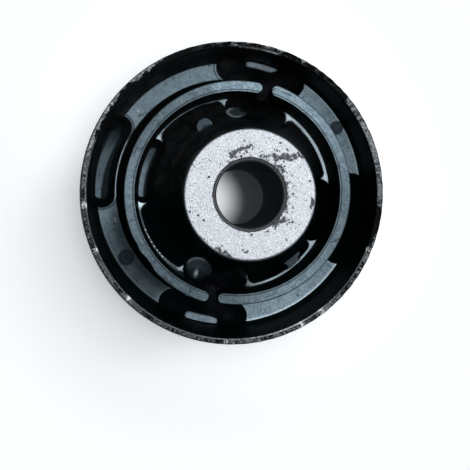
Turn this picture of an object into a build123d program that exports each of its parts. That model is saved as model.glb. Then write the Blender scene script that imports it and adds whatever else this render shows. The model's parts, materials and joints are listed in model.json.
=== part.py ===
# Rubber-to-metal bush: a steel press-in sleeve, an eccentric aluminium inner sleeve with
# a through bore, two curved steel shells between them, and one rubber moulding that
# bonds all four metal pieces together.
#
# Frame: Z is the axis of the outer sleeve and Z = 0 is the plane the bush stands on.
# +X (east) is the direction in which the inner sleeve is set off-centre. Lengths in mm.

from build123d import *
import os
from math import cos, degrees, radians

# ---------------------------------------------------------------- inner sleeve
core_length = 60.0          # over the two clamping faces
core_radius = 14.2
core_offset = 3.75          # inner sleeve axis from outer sleeve axis, along +X
core_edge = 0.4             # chamfer on the outside corners
bore_radius = 7.25          # clears an M14 bolt
bore_edge = 0.7             # chamfer at both mouths of the bore

# ---------------------------------------------------------------- outer sleeve
sleeve_height = 50.0
sleeve_radius = 34.75       # the press-in diameter is twice this
sleeve_wall = 1.4
rim_reduction = 1.3         # how far each end is swaged inwards
rim_length = 8.0            # height of each swaged end
rim_edge = 0.3              # rounding of the sheared outside corner

# ---------------------------------------------------------------- shells
shell_radius = 25.0         # outside of the two half shells
shell_wall = 2.4
shell_offset = 1.3          # shell axis from outer sleeve axis, along +X
shell_recess = 1.0          # shell end below the rim
shell_gap = 1.7             # between the rounded tips of the two halves
shell_edge = 0.45           # rounding of the end faces

# ---------------------------------------------------------------- rubber outside the shells
lining_skin = 0.1           # rubber over the inside corner of the rim
lining_recess = 0.5         # skin ends below the rim
land_depth = 17.5           # flat lands below the rim
land_root = 0.9             # root radius between land and lining
moat_gap = 1.35             # mean width of the relief groove behind the shells
moat_depth = 6.0
moat_start = 62.0           # the groove runs round the west side, from this angle off +X

# ---------------------------------------------------------------- rubber inside the shells
ledge_depth = 19.8          # flat ledges below the rim
ledge_width = 0.9           # flat strip along the shell
lobe_corner = 1.1           # plan rounding of the lobes' outer corners
lobe_flare = 0.3            # cone overshoots the ledges by this, so lobes end in a low step
lobe_overhang = 0.15        # lobes start this far over the pockets, which then trim them
core_skin = 2.2             # rubber round the inner sleeve between the lobes
cone_skin = 0.7             # rubber thickness where it ends on the inner sleeve
cone_recess = 1.0           # rubber ends below the clamping face
# concave side of the cone: share of its climb, and share of its spread that is left there
cone_line = ((0.0, 1.0), (0.18, 0.62), (0.45, 0.3), (1.0, 0.0))

# ---------------------------------------------------------------- pockets
pocket_half_angle = 19.5    # mouth of every pocket, centre to tip
outer_depth = 4.5           # pockets outside the shells, below the lands
inner_depth = 4.0           # pockets inside the shells, below the ledges
side_floor_share = 0.68     # floors east and west, as a share of the mouth's width
side_floor_half_angle = 15.5
gap_floor_share = 0.3       # floors north and south, beside the shell gaps
gap_floor_half_angle = 7.5
inner_side_floor_share = 0.42
inner_gap_floor_share = 0.54
inner_gap_floor_half_angle = 10.0
inner_slack = 0.8           # pocket wall to core skin, north, south and west
east_slack = 0.3            # the same where the inner sleeve is nearest

# ---------------------------------------------------------------- webs in the shell gaps
web_rise = 7.0              # above the ledges
web_lap = 0.9               # how far the web stands proud of both faces of the shells
web_grip = 1.8              # how far the web runs along the shells from their tips
rib_width = 1.3             # rib that ties each web to the lining on the east side
rib_angle = 74.0            # where the rib meets the lining
rib_rise = 2.5              # above the lands

# ---------------------------------------------------------------- ejector marks
pin_radius = 1.75
pin_depth = 0.2             # mark pressed into a land
pin_angles = (45.0, 225.0)  # marks on the lands, about the outer sleeve axis
boss_angles = (135.0, 315.0)  # bosses on the lobes, about the inner sleeve axis
boss_offset = 3.2           # centre of a boss from the wall of the inner sleeve
boss_rise = 8.0             # boss above the ledges

# ---------------------------------------------------------------- derived levels and radii
middle = core_length / 2
rim_z = middle + sleeve_height / 2
shell_top = rim_z - shell_recess
land_z = rim_z - land_depth
ledge_z = rim_z - ledge_depth
cone_top = core_length - cone_recess
rim_radius = sleeve_radius - rim_reduction
sleeve_centre = sleeve_radius - sleeve_wall / 2
lining_radius = rim_radius - sleeve_wall - lining_skin
shell_bore = shell_radius - shell_wall
shell_centre = shell_radius - shell_wall / 2
moat_radius = shell_radius + moat_gap
ledge_radius = shell_bore - ledge_width
pin_orbit = (moat_radius + lining_radius) / 2
core_lead = core_offset - shell_offset
cone_radius = core_radius + cone_skin


def kidney(axis_x, angle, inner, outer, half_angle, inset=0, mode=Mode.ADD):
    """Arc slot about an axis on X, centred on an angle, with round ends at +-half_angle."""
    centre = (inner + outer) / 2
    sweep = half_angle - degrees((outer - inner) / 2 / centre)
    spine = CenterArc((axis_x, 0), centre, angle - sweep, 2 * sweep)
    SlotArc(spine, height=outer - inner - 2 * inset, mode=mode)


def sleeve_line(radius):
    """Half section of a tube face with both ends swaged in, from the foot to the rim."""
    foot_z = middle - sleeve_height / 2
    return [
        (radius - rim_reduction, foot_z),
        (radius, foot_z + rim_length),
        (radius, rim_z - rim_length),
        (radius - rim_reduction, rim_z),
    ]


# ================================================================ outer sleeve
with BuildPart() as outer_sleeve:
    with BuildSketch(Plane.XZ):
        outside = sleeve_line(sleeve_radius)
        inside = sleeve_line(sleeve_radius - sleeve_wall)
        Polygon(*outside, *reversed(inside), align=None)
    revolve(axis=Axis.Z)
    circles = outer_sleeve.edges().filter_by(GeomType.CIRCLE)
    fillet(circles.filter_by(lambda edge: abs(edge.radius - rim_radius) < rim_edge), rim_edge)

# ================================================================ inner sleeve
with BuildPart() as inner_sleeve:
    with BuildSketch(Plane.XY):
        with Locations((core_offset, 0)):
            Circle(core_radius)
            Circle(bore_radius, mode=Mode.SUBTRACT)
    extrude(amount=core_length)
    mouths = inner_sleeve.edges().filter_by(GeomType.CIRCLE)
    chamfer(mouths.filter_by(lambda edge: abs(edge.radius - bore_radius) < bore_edge), bore_edge)
    chamfer(mouths.filter_by(lambda edge: abs(edge.radius - core_radius) < core_edge), core_edge)


# ================================================================ half shells
def half_shell(facing):
    """Curved shell with round tips; facing is the angle of its middle, 0 or 180."""
    tip_angle = degrees((shell_gap + shell_wall) / 2 / shell_centre)
    start = facing - 90 + tip_angle
    with BuildPart() as shell:
        with BuildSketch(Plane.XY.offset(2 * middle - shell_top)):
            spine = CenterArc((shell_offset, 0), shell_centre, start, 180 - 2 * tip_angle)
            SlotArc(spine, height=shell_wall)
        extrude(amount=2 * (shell_top - middle))
        fillet(shell.faces().filter_by(Axis.Z).edges(), shell_edge)
    return shell.part


shell_east = half_shell(0)
shell_west = half_shell(180)

# ================================================================ rubber: lobes round the core
# inner radius of each inner pocket about the shell axis, by the pocket's angle
inner_mouths = {
    0: core_radius + core_skin + core_lead + east_slack,
    90: core_radius + core_skin + inner_slack,
    180: core_radius + core_skin + inner_slack,
    270: core_radius + core_skin + inner_slack,
}

# oblique concave cone that climbs from the ledges to the end of the inner sleeve
with BuildPart() as cone:
    for climb, spread in cone_line:
        with BuildSketch(Plane.XY.offset(ledge_z + climb * (cone_top - ledge_z))):
            with Locations((core_offset - core_lead * spread, 0)):
                Circle(cone_radius + (ledge_radius + lobe_flare - cone_radius) * spread)
    loft()

# the pockets cut the cone into four lobes, and leave a skin on the inner sleeve between them
with BuildPart() as lobes:
    with BuildSketch(Plane.XY.offset(ledge_z)) as lobe_plan:
        with Locations((shell_offset, 0)):
            Circle(ledge_radius)
        for angle, inner in inner_mouths.items():
            kidney(
                shell_offset, angle, inner, shell_bore, pocket_half_angle, lobe_overhang, Mode.SUBTRACT
            )
        shell_axis = Vector(shell_offset, 0)
        corners = lobe_plan.vertices().filter_by(
            lambda corner: abs((Vector(corner) - shell_axis).length - ledge_radius) < ledge_width / 2
        )
        fillet(corners, lobe_corner)
        with Locations((core_offset, 0)):
            Circle(core_radius + core_skin)
    extrude(amount=cone_top - ledge_z)
    add(cone.part, mode=Mode.INTERSECT)

# ================================================================ rubber: upper half
outer_pockets = {
    # angle: inner radius of the mouth, floor's share of its width, half angle of the floor
    0: (moat_radius + ledge_width, side_floor_share, side_floor_half_angle),
    90: (moat_radius, gap_floor_share, gap_floor_half_angle),
    180: (moat_radius + ledge_width, side_floor_share, side_floor_half_angle),
    270: (moat_radius, gap_floor_share, gap_floor_half_angle),
}

with BuildPart() as rubber_half:
    # disc at the height of the lands, sunk to the ledges inside the shells
    with BuildSketch(Plane.XY.offset(middle)):
        Circle(sleeve_centre)
    extrude(amount=land_z - middle)
    with BuildSketch(Plane.XY.offset(ledge_z)):
        with Locations((shell_offset, 0)):
            Circle(shell_centre)
    extrude(amount=land_z - ledge_z, mode=Mode.SUBTRACT)
    # lining up the sleeve wall, with a root radius on the lands
    with BuildSketch(Plane.XZ):
        with BuildLine():
            Polyline(
                (lining_radius - land_root, land_z),
                (sleeve_centre, land_z),
                (sleeve_centre, rim_z - rim_length),
                (sleeve_centre - rim_reduction, rim_z),
                (lining_radius, rim_z),
                (lining_radius, land_z + land_root),
            )
            CenterArc(
                (lining_radius - land_root, land_z + land_root), land_root, start_angle=270, arc_size=90
            )
        make_face()
    revolve(axis=Axis.Z)
    with BuildSketch(Plane.XY.offset(rim_z - lining_recess)):
        Circle(sleeve_radius)
    extrude(amount=lining_recess, mode=Mode.SUBTRACT)
    # pockets outside the shells
    for angle, (inner, share, floor_half_angle) in outer_pockets.items():
        floor_width = share * (lining_radius - inner)
        with BuildSketch(Plane.XY.offset(land_z - outer_depth)):
            kidney(0, angle, lining_radius - floor_width, lining_radius, floor_half_angle)
        with BuildSketch(Plane.XY.offset(land_z)):
            kidney(0, angle, inner, lining_radius, pocket_half_angle)
        loft(ruled=True, mode=Mode.SUBTRACT)
        with BuildSketch(Plane.XY.offset(land_z)):
            kidney(0, angle, inner, lining_radius, pocket_half_angle)
        extrude(amount=land_root, mode=Mode.SUBTRACT)
    # pockets inside the shells, open upwards through the cone
    add(lobes.part)
    for angle, inner in inner_mouths.items():
        beside_gap = angle % 180 == 90
        share = inner_gap_floor_share if beside_gap else inner_side_floor_share
        floor_width = share * (shell_bore - inner)
        floor_half_angle = inner_gap_floor_half_angle if beside_gap else side_floor_half_angle
        with BuildSketch(Plane.XY.offset(ledge_z - inner_depth)):
            kidney(shell_offset, angle, shell_bore - floor_width, shell_bore, floor_half_angle)
        with BuildSketch(Plane.XY.offset(ledge_z)):
            kidney(shell_offset, angle, inner, shell_bore, pocket_half_angle)
        loft(ruled=True, mode=Mode.SUBTRACT)
        with BuildSketch(Plane.XY.offset(ledge_z)):
            kidney(shell_offset, angle, inner, shell_bore, pocket_half_angle)
        extrude(amount=cone_top - ledge_z, mode=Mode.SUBTRACT)
    # relief groove behind the west side of the shells: a crescent between eccentric circles
    with BuildSketch(Plane.XY.offset(land_z)):
        Circle(moat_radius)
        with Locations((shell_offset, 0)):
            Circle(shell_centre, mode=Mode.SUBTRACT)
        with Locations((moat_radius * cos(radians(moat_start)), 0)):
            Rectangle(
                moat_radius, 2 * moat_radius, align=(Align.MIN, Align.CENTER), mode=Mode.SUBTRACT
            )
    extrude(amount=-moat_depth, mode=Mode.SUBTRACT)
    # webs through the shell gaps, each tied to the lining by a rib
    web_half_angle = degrees((shell_gap / 2 + shell_wall / 2 + web_grip) / shell_centre)
    for side in (1, -1):
        with BuildSketch(Plane.XY.offset(middle)):
            kidney(shell_offset, 90 * side, shell_bore - web_lap, shell_radius + web_lap, web_half_angle)
        extrude(amount=ledge_z + web_rise - middle)
        rib_end = Vector(sleeve_centre, 0).rotate(Axis.Z, side * rib_angle)
        with BuildSketch(Plane.XY.offset(middle)):
            SlotArc(Edge.make_line((shell_offset, side * shell_centre), rib_end), height=rib_width)
        extrude(amount=land_z + rib_rise - middle)

# ================================================================ rubber: whole moulding
with BuildPart() as rubber_body:
    add(rubber_half.part)
    mirror(about=Plane.XY.offset(middle))
    # ejector marks, on the upper side only
    for angle in pin_angles:
        with BuildSketch(Plane.XY.offset(land_z)):
            with PolarLocations(pin_orbit, 1, start_angle=angle):
                Circle(pin_radius)
        extrude(amount=-pin_depth, mode=Mode.SUBTRACT)
    for angle in boss_angles:
        with BuildSketch(Plane.XY.offset(middle)):
            with Locations((core_offset, 0)):
                with PolarLocations(core_radius + boss_offset, 1, start_angle=angle):
                    Circle(pin_radius)
        extrude(amount=ledge_z + boss_rise - middle)
    # room for the metal that the rubber is moulded round
    with BuildSketch(Plane.XY):
        with Locations((core_offset, 0)):
            Circle(core_radius)
    extrude(amount=core_length, mode=Mode.SUBTRACT)
    add([shell_east, shell_west, outer_sleeve.part], mode=Mode.SUBTRACT)

# ================================================================ output
os.makedirs("parts", exist_ok=True)
pieces = {
    "outer_sleeve": outer_sleeve.part,
    "inner_sleeve": inner_sleeve.part,
    "shell_east": shell_east,
    "shell_west": shell_west,
    "rubber_body": rubber_body.part,
}
for name, piece in pieces.items():
    piece.label = name
    export_step(piece, f"parts/{name}.step")
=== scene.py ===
import json
from functools import reduce
from math import cos, pi, radians, sin

import bpy
import numpy as np
from mathutils import Matrix, Vector


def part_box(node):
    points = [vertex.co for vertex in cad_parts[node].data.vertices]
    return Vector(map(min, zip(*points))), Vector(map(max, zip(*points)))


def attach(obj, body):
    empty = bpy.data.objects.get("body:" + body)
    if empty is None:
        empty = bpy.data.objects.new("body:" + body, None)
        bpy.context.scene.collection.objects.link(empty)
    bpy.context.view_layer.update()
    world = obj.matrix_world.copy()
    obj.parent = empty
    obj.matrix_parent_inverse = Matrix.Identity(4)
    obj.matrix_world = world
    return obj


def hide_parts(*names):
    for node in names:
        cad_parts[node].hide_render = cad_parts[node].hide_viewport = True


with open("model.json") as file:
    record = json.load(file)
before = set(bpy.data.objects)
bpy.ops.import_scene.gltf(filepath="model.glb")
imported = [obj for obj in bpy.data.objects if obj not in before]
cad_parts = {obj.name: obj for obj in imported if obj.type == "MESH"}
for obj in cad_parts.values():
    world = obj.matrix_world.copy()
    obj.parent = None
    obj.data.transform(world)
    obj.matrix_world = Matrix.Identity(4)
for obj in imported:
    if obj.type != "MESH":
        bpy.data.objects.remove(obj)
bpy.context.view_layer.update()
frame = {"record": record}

# ---- sizes, in millimetres
MM = 0.001
core_low, core_high = (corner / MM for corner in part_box("inner_sleeve"))
sleeve_low, sleeve_high = (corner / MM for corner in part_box("outer_sleeve"))
_, east_high = (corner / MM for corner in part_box("shell_east"))
west_low, _ = (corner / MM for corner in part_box("shell_west"))
_, rubber_high = (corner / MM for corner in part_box("rubber_body"))
bore = next(m for m in frame["record"]["mounts"] if m["name"] == "core_bore")

MIDDLE = (core_high.z + core_low.z) / 2
CORE_TOP = core_high.z
CORE_X = bore["pos_m"][0] / MM
CORE_R = (core_high.x - core_low.x) / 2
CORE_EDGE = 0.12                # bevel of the end face's outer edge
BORE_R = bore["dims"]["r_mm"]
BORE_EDGE = 0.7                 # chamfer of the bore

# a little under the CAD's, so that the shifted sleeve stays inside the CAD's box
SLEEVE_R = (sleeve_high.x - sleeve_low.x) / 2 - 0.55
RIM_Z = sleeve_high.z
RIM_R = SLEEVE_R - 0.85
RIM_LENGTH = 8.0                # how far down the wall tapers in
SLEEVE_WALL = 1.4

SHELL_X = (east_high.x + west_low.x) / 2
SHELL_R = (east_high.x - west_low.x) / 2
SHELL_WALL = 2.4
SHELL_BORE = SHELL_R - SHELL_WALL
SHELL_TOP = east_high.z
SHELL_EDGE = 0.12               # rounding of the ends' edges

LAND_Z = RIM_Z - 17.5
LEDGE_Z = RIM_Z - 19.8
CONE_TOP = rubber_high.z
LINING_R = RIM_R - SLEEVE_WALL
LINING_TOP = RIM_Z - 0.5
LAND_ROOTS = (0.85, 1.8, 1.15, 1.15)      # fillets to the lining, lands from +X+Y round to +X-Y
LAND_RISES = (0.055, 0.045, 0.0, 0.05)    # slopes of the lands, in the same order
FLOOR_ROOT = 0.35                         # fillet from the pockets' floors to the lining
MOAT_R = SHELL_R + 1.35         # outer edge of the crescent groove round the west shell
MOAT_DEPTH = 7.0
MOAT_SPAN = MOAT_R - SHELL_R + SHELL_X
MOAT_END = radians(62)          # direction of its two ends
LEDGES = (0.55, 0.5, 0.14, 0.55)          # widths of the ledges, in the same order
LEDGE_RISES = (0.10, 0.07, 0.04, 0.09)    # and their slopes
OUTER_DEPTH = 4.5
INNER_DEPTH = 4.0
CORE_SKIN_R = CORE_R + 2.2      # outside of the rubber that covers the inner sleeve
CONE_R = CORE_R + 0.4
CONE_FOOT_R = SHELL_BORE - 0.1
CORE_LEAD = CORE_X - SHELL_X    # how far the cone's top lies off its foot
CONE_START = 0.42               # share of the cone's climb that is an even slope
LOBE_CORNERS = (2.0, 2.6, 2.7, 2.1)       # roundings of the lobes' corners, in the same order
WEB_LAP, WEB_HALF = 0.9, 2.6              # webs: past the shell's wall, half their width
SCOOP_FLAT, SCOOP_CURVE = -17.2, 0.065    # the dish at -Y: where it starts to curve up
BOSS_AT, BOSS_R, BOSS_Z = (-9.1, 13.1), 2.15, 45.6
# the lump of flash at +X-Y: place, half lengths, tilt in degrees, top
LUMP_AT, LUMP_HALF, LUMP_TILT, LUMP_Z = (18.1, -12.0), (2.4, 1.7), 52, 40.0
WEB_TOP = LEDGE_Z + 7
RIB_TOP = LAND_Z + 1.5

# how far the pieces sit off their nominal axes after moulding and swaging
SLEEVE_SHIFT = (0.27, -0.50)
EAST_SHIFT = (0.09, 0.18)
WEST_SHIFT = (0.03, -0.33)


# ---- small tools for shapes
def ramp(value, low, high):
    """0 below low, 1 above high, smooth between; low may be above high."""
    t = np.clip((value - low) / (high - low), 0, 1)
    return t * t * (3 - 2 * t)


def wrap(turn):
    """An angle brought into -pi to pi."""
    return (turn + pi) % (2 * pi) - pi


def waves(turn, seed, low, high, size):
    """Smooth uneven wave round a circle, of about that size, with from low to high humps."""
    source = np.random.default_rng(seed)
    total = np.zeros_like(turn)
    for humps in range(low, high + 1):
        total += source.normal() * np.sin(humps * turn + source.uniform(0, 2 * pi))
    return size * total / np.sqrt((high - low + 1) / 2)


def arc_slot(x, y, axis_x, facing, inner, outer, half_angle):
    """Signed distance to an arc slot with round ends, below zero inside it."""
    radius = np.hypot(x - axis_x, y)
    turn = wrap(np.arctan2(y, x - axis_x) - facing)
    centre, half = (inner + outer) / 2, (outer - inner) / 2
    beyond = np.clip(np.abs(turn) - half_angle + half / centre, 0, None)
    across = radius * np.cos(beyond) - centre
    return np.hypot(across, np.where(beyond > 0, radius * np.sin(beyond), 0)) - half


def from_point(x, y, at):
    """Distance from a point in the plan."""
    return np.hypot(x - at[0], y - at[1])


def unit(turn):
    """Unit vectors in those directions."""
    return np.stack([np.cos(turn), np.sin(turn)], axis=-1)


def by_direction(turn, table):
    """What a table of (direction, value) gives at those directions, in degrees."""
    return np.interp(turn % 360, *np.transpose(table))


def by_quarter(x, y, values):
    """The value of the quarter that a point lies in, from +X+Y round to +X-Y."""
    return np.choose(np.where(y > 0, np.where(x > 0, 0, 1), np.where(x > 0, 3, 2)), values)


def hump(value, middle, width):
    """1 where the value is the middle one, falling off on both sides like a bell."""
    return np.exp(-(((value - middle) / width) ** 2))


def oval(x, y, centre, half_long, half_wide, tilt):
    """Roughly the signed distance to an oval whose long way lies at that tilt in degrees."""
    dx, dy = x - centre[0], y - centre[1]
    along = dx * cos(radians(tilt)) + dy * sin(radians(tilt))
    across = dy * cos(radians(tilt)) - dx * sin(radians(tilt))
    return (np.hypot(along / half_long, across / half_wide) - 1) * half_wide


# ---- mesh builders
def new_object(name, data):
    """An object in the scene's collection."""
    made = bpy.data.objects.new(name, data)
    bpy.context.scene.collection.objects.link(made)
    return made


def piece_from(name, points, faces, material, node, layers, dull=None):
    """A smooth mesh piece that stands for a CAD node; points are in millimetres.

    Where a dull material is given, steep faces and those in the layer "matt" get it, and
    the layer "flat" tells the other material how level the surface is, from 0 to 1.
    """
    mesh = bpy.data.meshes.new(name)
    mesh.from_pydata((np.asarray(points) * MM).tolist(), [], faces)
    for layer, values in layers.items():
        attribute = mesh.attributes.new(layer, "FLOAT", "POINT")
        attribute.data.foreach_set("value", np.asarray(values, np.float32))
    mesh.polygons.foreach_set("use_smooth", [True] * len(mesh.polygons))
    mesh.materials.append(material)
    mesh.update()
    if dull:
        mesh.materials.append(dull)
        normals = np.empty(3 * len(faces), np.float32)
        mesh.polygons.foreach_get("normal", normals)
        steep = np.abs(normals[2::3]) < cos(DULL_SLOPE)
        if "matt" in layers:
            steep |= np.array([layers["matt"][face[0]] > 0.5 for face in faces])
        mesh.polygons.foreach_set("material_index", steep.astype(np.int32))
        normals = np.empty(3 * len(mesh.vertices), np.float32)
        mesh.vertex_normals.foreach_get("vector", normals)
        flat = ramp(np.abs(normals[2::3]), cos(DULL_SLOPE - radians(4)), cos(LIT_SLOPE))
        mesh.attributes.new("flat", "FLOAT", "POINT").data.foreach_set("value", flat.astype(np.float32))
    piece = new_object(name, mesh)
    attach(piece, "root")
    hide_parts(node)


def lattice_faces(rows, columns, start=0, flip=False, closed=False):
    """Quads between rows of points that run round in loops.

    A closed lattice also joins its last row to its first.
    """
    faces = []
    for row in range(rows if closed else rows - 1):
        low, high = start + row * columns, start + (row + 1) % rows * columns
        for i in range(columns):
            j = (i + 1) % columns
            quad = (low + i, low + j, high + j, high + i)
            faces.append(quad[::-1] if flip else quad)
    return faces


def turned(profile, columns, axis=(0.0, 0.0)):
    """Points of a profile of (radius, height) rows turned about a vertical axis."""
    turn = np.linspace(0, 2 * pi, columns, endpoint=False)
    profile = np.asarray(profile, float)
    radius, height = profile[:, :1], profile[:, 1:]
    x, y = axis[0] + radius * np.cos(turn), axis[1] + radius * np.sin(turn)
    return np.stack([x, y, height + 0 * turn], axis=-1)


# ---- shader graphs
class Graph:
    """Short forms for building one material's nodes."""

    def __init__(self, name):
        self.material = bpy.data.materials.new(name)
        self.material.use_nodes = True
        self.tree = self.material.node_tree
        # every place in millimetres
        self.place = self.vector("MULTIPLY", self.node("TexCoord", "Object"), (1 / MM,) * 3)

    def feed(self, socket, value):
        """Link an output to a socket, or set a constant on it; a colour has three numbers."""
        if isinstance(value, bpy.types.NodeSocket):
            self.tree.links.new(value, socket)
        else:
            socket.default_value = (*value, 1) if socket.type == "RGBA" else value

    def node(self, kind, output, inputs=(), **settings):
        """Output of a new node; inputs pairs the names or numbers of sockets with values."""
        node = self.tree.nodes.new("ShaderNode" + kind)
        for name, value in settings.items():
            setattr(node, name, value)
        for name, value in dict(inputs).items():
            self.feed(node.inputs[name], value)
        return node.outputs[output]

    def math(self, operation, *values, clamp=False):
        return self.node("Math", 0, enumerate(values), operation=operation, use_clamp=clamp)

    def times(self, *values):
        """Product of two or more."""
        return reduce(lambda first, second: self.math("MULTIPLY", first, second), values)

    def times_plus(self, first, second, added):
        return self.math("MULTIPLY_ADD", first, second, added)

    def larger(self, *values):
        """The largest of two or more."""
        return reduce(lambda first, second: self.math("MAXIMUM", first, second), values)

    def centred(self, noise):
        """A noise moved so that it varies about 0."""
        return self.math("SUBTRACT", noise, 0.5)

    def vector(self, operation, *values):
        output = "Value" if operation in ("DISTANCE", "DOT_PRODUCT") else "Vector"
        return self.node("VectorMath", output, enumerate(values), operation=operation)

    def along(self, axis):
        """How far along X, Y or Z a place is."""
        return self.node("SeparateXYZ", axis, {0: self.place})

    def layer(self, name):
        return self.node("Attribute", "Fac", attribute_name=name)

    def noise(self, grain, detail=2.0, rough=0.5, place=None, stretch=None):
        """Noise whose features are about that many millimetres across."""
        place = place or self.place
        if stretch:
            place = self.vector("MULTIPLY", place, stretch)
        inputs = {"Vector": place, "Scale": 1 / grain, "Detail": detail, "Roughness": rough}
        return self.node("TexNoise", "Fac", inputs)

    def spots(self, spacing, metric="EUCLIDEAN"):
        """Distance to the nearest of scattered points, in cells."""
        inputs = {"Vector": self.place, "Scale": 1 / spacing}
        return self.node("TexVoronoi", "Distance", inputs, distance=metric)

    def step(self, value, low, high, top=1.0):
        """0 below low and top above high, smooth between; low may be above high."""
        first, last = (0.0, top) if low < high else (top, 0.0)
        inputs = {"Value": value, "To Min": first, "To Max": last}
        inputs |= {"From Min": min(low, high), "From Max": max(low, high)}
        return self.node("MapRange", 0, inputs, interpolation_type="SMOOTHSTEP")

    def mix(self, share, first, second):
        """A blend of two numbers or of two colours."""
        number = isinstance(first, float) or getattr(first, "type", "") == "VALUE"
        # this node has its own sockets for numbers and for colours
        kind, sockets, output = ("FLOAT", (0, 2, 3), 0) if number else ("RGBA", (0, 6, 7), 2)
        return self.node("Mix", output, zip(sockets, (share, first, second)), data_type=kind)

    def bump(self, height, depth):
        """Relief that many millimetres deep."""
        return self.node("Bump", 0, {"Height": height, "Distance": depth * MM})

    def surface(self, **settings):
        """The finished material, with these values on its shader's sockets."""
        for name, value in settings.items():
            self.feed(self.tree.nodes["Principled BSDF"].inputs[name.replace("_", " ")], value)
        return self.material


COAT_TINT = (0.62, 0.86, 1.0)    # bluish gloss of the rubber and of the bonding coat
DULL_SLOPE = radians(32)         # steeper faces left the mould less glossy
LIT_SLOPE = radians(12)          # flatter ones carry bloom_and_sheen, a grey film with the painted sheen of the overhead light


def near_point(g, at):
    """Distance in millimetres from a line straight up through a point."""
    flat_place = g.vector("MULTIPLY", g.place, (1, 1, 0))
    return g.vector("DISTANCE", flat_place, (at[0], at[1], 0))


def near_line(g, start, end):
    """Distance in millimetres from an upright wall between two points."""
    flat_place = g.vector("MULTIPLY", g.place, (1, 1, 0))
    along = Vector((end[0] - start[0], end[1] - start[1], 0))
    offset = g.vector("SUBTRACT", flat_place, (*start, 0))
    ahead = g.vector("DOT_PRODUCT", offset, along)
    share = g.math("MULTIPLY", ahead, 1 / along.length_squared, clamp=True)
    nearest = g.vector("MULTIPLY_ADD", share, along, (*start, 0))
    return g.vector("DISTANCE", flat_place, nearest)


def ring_line(g, distance, radius, half_width):
    """1 on a circle of that radius, fading to 0 half a width away."""
    off_line = g.math("ABSOLUTE", g.math("SUBTRACT", distance, radius))
    return g.step(off_line, half_width, half_width * 0.3)


def ragged_line(g, ragged, start, end, reach, core):
    """1 near the line between two points, its edge made ragged by a noise."""
    away = g.times_plus(g.centred(ragged), reach, near_line(g, start, end))
    return g.step(away, reach, reach * core)


# grey film with painted sheen (bloom_and_sheen) on the moulding and on the shells' coat. Clouds run
# from thin to thick; mottles and grain have where they start, where they are full, and how strong they
# then are.
RUBBER_BLOOM_AND_SHEEN = {
    "cloud_size": 3.5, "thin": (0.115, 0.170, 0.215), "thick": (0.280, 0.370, 0.425),
    "mottle_size": 0.9, "mottled": (0.46, 0.64, 0.6), "pale": (0.37, 0.46, 0.51),
    "grain_size": 0.30, "grainy": (0.54, 0.66, 0.8), "dark": (0.055, 0.082, 0.102),
    "speck_spacing": 1.7, "speck": (0.020, 0.030, 0.038), "under": (0.002, 0.004, 0.005),
}
COAT_BLOOM_AND_SHEEN = {
    "cloud_size": 3.0, "thin": (0.090, 0.135, 0.172), "thick": (0.215, 0.290, 0.338),
    "mottle_size": 0.8, "mottled": (0.48, 0.60, 0.75), "pale": (0.34, 0.42, 0.46),
    "grain_size": 0.28, "grainy": (0.53, 0.66, 0.85), "dark": (0.040, 0.060, 0.076),
    "speck_spacing": 1.9, "speck": (0.016, 0.024, 0.030), "under": (0.003, 0.005, 0.006),
}


def bloomed_with_sheen(g, look):
    """Tone of a dark surface under a grey film with painted sheen, and the mottle and grain of that
    film.
    """
    cloud = g.noise(look["cloud_size"], 4.0, 0.6)
    mottle = g.noise(look["mottle_size"], 4.0, 0.7)
    grain = g.noise(look["grain_size"], 3.0, 0.7)
    bloom_and_sheen = g.mix(g.step(cloud, 0.3, 0.7), look["thin"], look["thick"])
    bloom_and_sheen = g.mix(g.step(mottle, *look["mottled"]), bloom_and_sheen, look["pale"])
    bloom_and_sheen = g.mix(g.step(grain, *look["grainy"]), bloom_and_sheen, look["dark"])
    specks = g.step(g.spots(look["speck_spacing"]), 0.15, 0.09)
    bloom_and_sheen = g.mix(g.times(specks, g.step(g.noise(5.0), 0.47, 0.55)), bloom_and_sheen, look["speck"])
    # only level faces get it, as much as the bloom_and_sheen layer says: painted sheen of the overhead
    # light
    share = g.times(g.layer("bloom_and_sheen"), g.layer("flat"))
    return g.vector("ADD", g.vector("MULTIPLY", bloom_and_sheen, share), look["under"]), mottle, grain


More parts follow.
